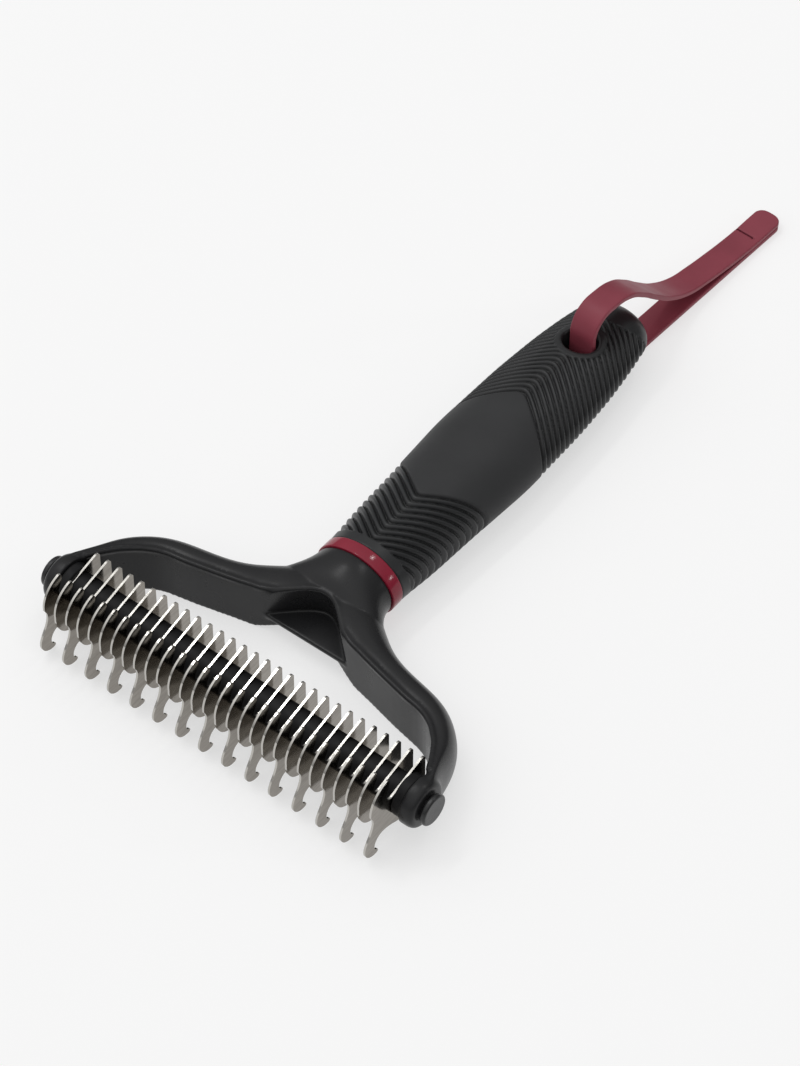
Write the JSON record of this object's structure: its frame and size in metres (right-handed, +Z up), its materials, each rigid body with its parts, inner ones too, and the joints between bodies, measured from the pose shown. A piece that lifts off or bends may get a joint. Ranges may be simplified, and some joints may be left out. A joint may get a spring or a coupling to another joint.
{
  "type": "undercoat rake",
  "caption": "Pet grooming rake: a bow-shaped yoke carries a pack of alternating hooked and short steel blades on an axle, with a rubber grip and a looped wrist strap.",
  "frame": {"origin": "centre of the yoke's flat underside, where the handle's line crosses the middle of the yoke", "axes": "+X along the blade axle, +Y from the blades towards the butt, +Z up, away from the face it lies on"},
  "size_m": [0.129, 0.258, 0.03],
  "materials": {
    "yoke_plastic": "black moulded plastic, satin gloss",
    "cap_plastic": "black moulded plastic cap",
    "collar_plastic": "glossy deep red",
    "core_plastic": "hidden hard core under the rubber",
    "grip_rubber": "matte dark grey soft-touch rubber",
    "spacer_plastic": "black moulded washers and discs",
    "axle_steel": "plain drawn steel",
    "blade_steel": "mirror-polished stainless blades",
    "strap_rubber": "smooth burgundy soft-touch strap"
  },
  "bodies": {
    "rake": {"yoke": "yoke_plastic", "collar_band": "collar_plastic", "handle_core": "core_plastic", "grip_sleeve": "grip_rubber", "tang_pin": "axle_steel", "axle_rod": "axle_steel", "blade_spacers": "spacer_plastic", "end_disc_left": "spacer_plastic", "end_disc_right": "spacer_plastic", "end_cap_left": "cap_plastic", "end_cap_right": "cap_plastic", "strap_anchor": "strap_rubber", "hook_blade_01": "blade_steel", "hook_blade_02": "blade_steel", "hook_blade_03": "blade_steel", "hook_blade_04": "blade_steel", "hook_blade_05": "blade_steel", "hook_blade_06": "blade_steel", "hook_blade_07": "blade_steel", "hook_blade_08": "blade_steel", "hook_blade_09": "blade_steel", "hook_blade_10": "blade_steel", "hook_blade_11": "blade_steel", "hook_blade_12": "blade_steel", "hook_blade_13": "blade_steel", "hook_blade_14": "blade_steel", "hook_blade_15": "blade_steel", "short_blade_01": "blade_steel", "short_blade_02": "blade_steel", "short_blade_03": "blade_steel", "short_blade_04": "blade_steel", "short_blade_05": "blade_steel", "short_blade_06": "blade_steel", "short_blade_07": "blade_steel", "short_blade_08": "blade_steel", "short_blade_09": "blade_steel", "short_blade_10": "blade_steel", "short_blade_11": "blade_steel", "short_blade_12": "blade_steel", "short_blade_13": "blade_steel", "short_blade_14": "blade_steel"},
    "strap": {"strap_loop": "strap_rubber"}
  },
  "joints": [
    {"name": "strap_flex", "type": "hinge", "parent": "rake", "child": "strap", "pos_m": [0.00297, 0.16004, 0.0029], "axis": [0.9988, -0.0489, 0], "range_deg": [-75, 75]}
  ]
}
